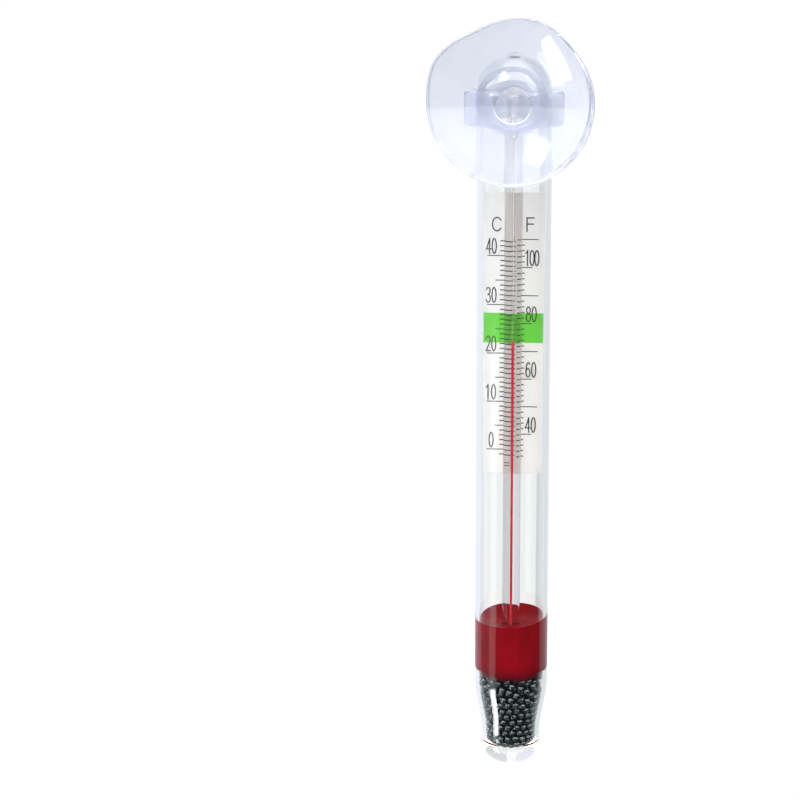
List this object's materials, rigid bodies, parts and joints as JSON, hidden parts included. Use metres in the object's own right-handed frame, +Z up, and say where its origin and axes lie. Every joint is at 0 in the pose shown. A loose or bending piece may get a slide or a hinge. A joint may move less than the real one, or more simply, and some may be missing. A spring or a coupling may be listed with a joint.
{
  "type": "glass thermometer",
  "caption": "Glass spirit thermometer for an aquarium, with a paper scale, red wax over steel shot, and a clear suction cup whose ring grips the tube.",
  "frame": {"origin": "centre of the suction cup's rim plane, the plane that seals on the tank's wall", "axes": "+Z up along the glass tube, the weighted end down; -Y is the way the cup and the scale face; +X is the Fahrenheit side"},
  "size_m": [0.026, 0.0235, 0.1237],
  "materials": {
    "clear_pvc": "clear soft PVC, glossy, slightly blue",
    "clear_glass": "clear glass, polished",
    "red_spirit": "red dyed spirit",
    "scale_paper": "white printed card, matt",
    "red_wax": "deep red wax, satin",
    "dark_steel": "dark polished steel balls"
  },
  "bodies": {
    "cup": {"suction_cup": "clear_pvc"},
    "thermometer": {"glass_tube": "clear_glass", "seal_tip": "clear_glass", "capillary_stem": "clear_glass", "thermometer_bulb": "clear_glass", "spirit_reservoir": "red_spirit", "scale_card": "scale_paper", "wax_plug": "red_wax", "shot_pile": "dark_steel", "shot_ball_01": "dark_steel", "shot_ball_02": "dark_steel", "shot_ball_03": "dark_steel", "shot_ball_04": "dark_steel", "shot_ball_05": "dark_steel", "shot_ball_06": "dark_steel", "shot_ball_07": "dark_steel", "shot_ball_08": "dark_steel", "shot_ball_09": "dark_steel", "shot_ball_10": "dark_steel", "shot_ball_11": "dark_steel", "shot_ball_12": "dark_steel", "shot_ball_13": "dark_steel", "shot_ball_14": "dark_steel", "shot_ball_15": "dark_steel", "shot_ball_16": "dark_steel", "shot_ball_17": "dark_steel", "shot_ball_18": "dark_steel", "shot_ball_19": "dark_steel", "shot_ball_20": "dark_steel", "shot_ball_21": "dark_steel", "shot_ball_22": "dark_steel", "shot_ball_23": "dark_steel", "shot_ball_24": "dark_steel", "shot_ball_25": "dark_steel", "shot_ball_26": "dark_steel", "shot_ball_27": "dark_steel", "shot_ball_28": "dark_steel", "shot_ball_29": "dark_steel", "shot_ball_30": "dark_steel", "shot_ball_31": "dark_steel", "shot_ball_32": "dark_steel", "shot_ball_33": "dark_steel", "shot_ball_34": "dark_steel", "shot_ball_35": "dark_steel", "shot_ball_36": "dark_steel", "shot_ball_37": "dark_steel", "shot_ball_38": "dark_steel", "shot_ball_39": "dark_steel", "shot_ball_40": "dark_steel"},
    "spirit": {"spirit_column": "red_spirit"}
  },
  "joints": [
    {"name": "tube_slide", "type": "slide", "parent": "cup", "child": "thermometer", "axis": [0, 0, 1], "range_m": [-0.003, 0.085]},
    {"name": "spirit_rise", "type": "slide", "parent": "thermometer", "child": "spirit", "axis": [0, 0, 1], "range_m": [-0.019, 0.016], "deforming": ["spirit_column"]}
  ]
}
